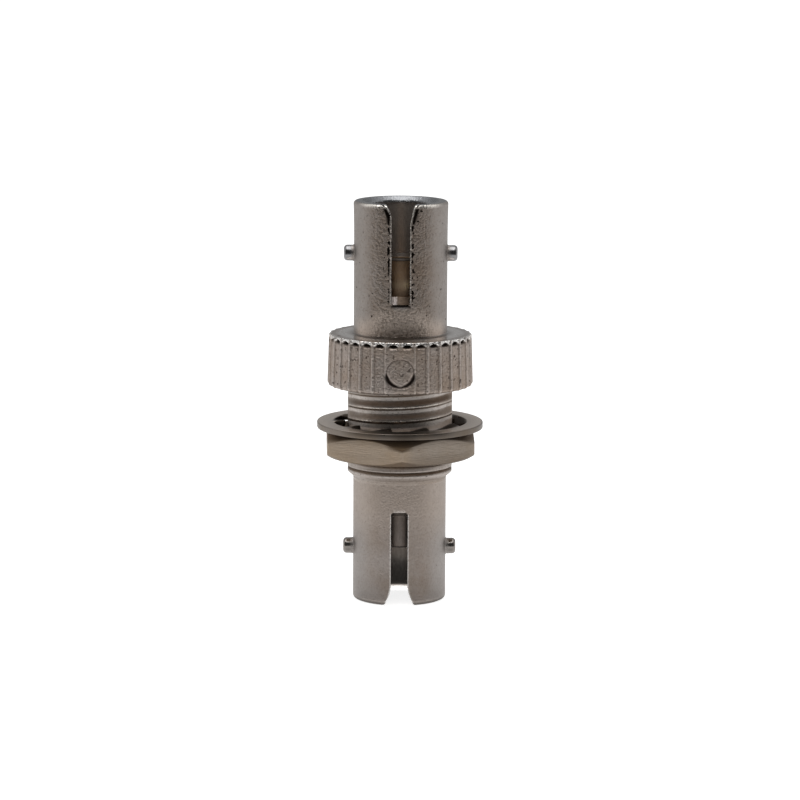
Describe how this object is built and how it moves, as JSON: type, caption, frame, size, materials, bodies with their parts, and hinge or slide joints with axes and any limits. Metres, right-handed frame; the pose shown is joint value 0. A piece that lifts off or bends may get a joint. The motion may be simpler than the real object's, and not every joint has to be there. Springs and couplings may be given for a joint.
{
  "type": "fibre optic bayonet coupler",
  "caption": "Round metal coupler with a keyed bayonet barrel at each end, a fluted flange and a threaded panel shank with nut and tooth washer; it joins a pair of fibre plugs end to end.",
  "frame": {"origin": "on the ferrule axis at the plane where the two ferrules meet, half-way between the two rims", "axes": "+Z along the ferrule axis, out of the front barrel; -Y is the side of the key slots; X runs through the bayonet lugs"},
  "size_m": [0.0125, 0.0126, 0.0302],
  "materials": {
    "plated_casting": "satin nickel plate on a fine cast surface",
    "turned_holder": "satin nickel plate on turned brass",
    "bronze_sleeve": "plain rolled bronze",
    "plated_washer": "nickel plate on stamped steel",
    "plated_nut": "nickel plate on milled brass"
  },
  "bodies": {
    "coupler": {"front_body": "plated_casting", "rear_barrel": "plated_casting", "front_sleeve_holder": "turned_holder", "rear_sleeve_holder": "turned_holder", "alignment_sleeve": "bronze_sleeve"},
    "washer": {"lock_washer": "plated_washer"},
    "nut": {"panel_nut": "plated_nut"}
  },
  "joints": [
    {"name": "washer_slide", "type": "slide", "parent": "coupler", "child": "washer", "axis": [0, 0, 1], "range_m": [-0.00125, 0.0025]},
    {"name": "nut_turn", "type": "hinge", "parent": "washer", "child": "nut", "pos_m": [0, 0, -0.00315], "axis": [0, 0, 1], "range_deg": [-450, 900]}
  ],
  "couplings": [
    {"joint": "washer_slide", "follows": "nut_turn", "m_per_rad": 0.00015915}
  ]
}
